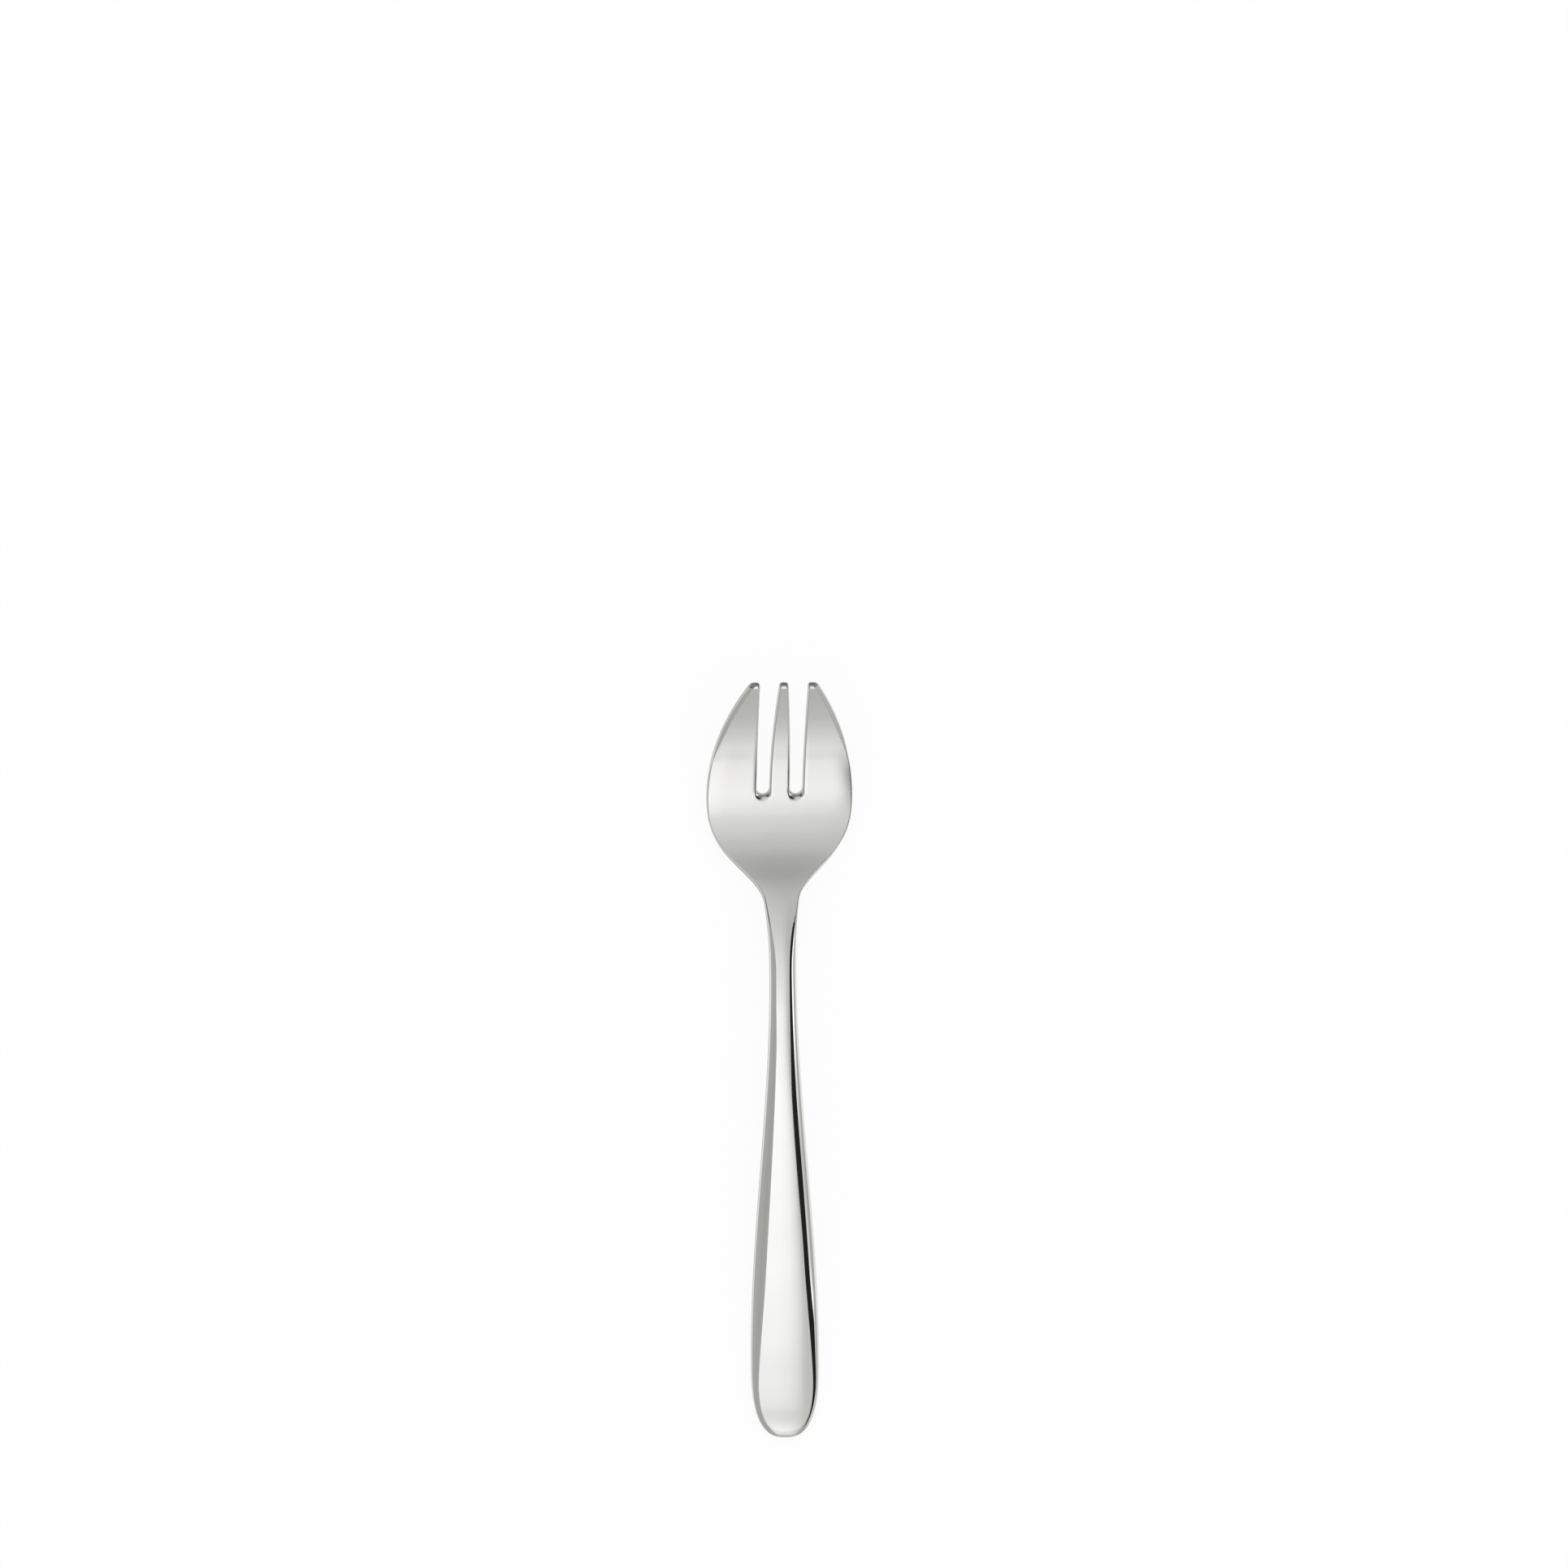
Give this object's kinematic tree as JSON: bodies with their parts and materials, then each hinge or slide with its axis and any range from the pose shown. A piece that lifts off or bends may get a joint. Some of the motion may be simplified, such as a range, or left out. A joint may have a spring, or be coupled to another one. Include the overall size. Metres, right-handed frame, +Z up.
{
  "type": "oyster fork",
  "caption": "Small one-piece steel fork for oysters and shellfish: a broad dished head cut into blunt tines, a slim arched neck and a spatulate polished handle.",
  "frame": {"origin": "centre of the bounding box in X and Y, at the height of the table the fork lies on", "axes": "+Y along the fork towards the tips of the tines, +Z up out of the dished side of the head, X across"},
  "size_m": [0.0282, 0.1448, 0.0135],
  "materials": {
    "steel": "stainless steel: satin on the head, brushed along its length, and mirror-polished on the handle"
  },
  "bodies": {
    "root": {"fork": "steel"}
  },
  "joints": []
}
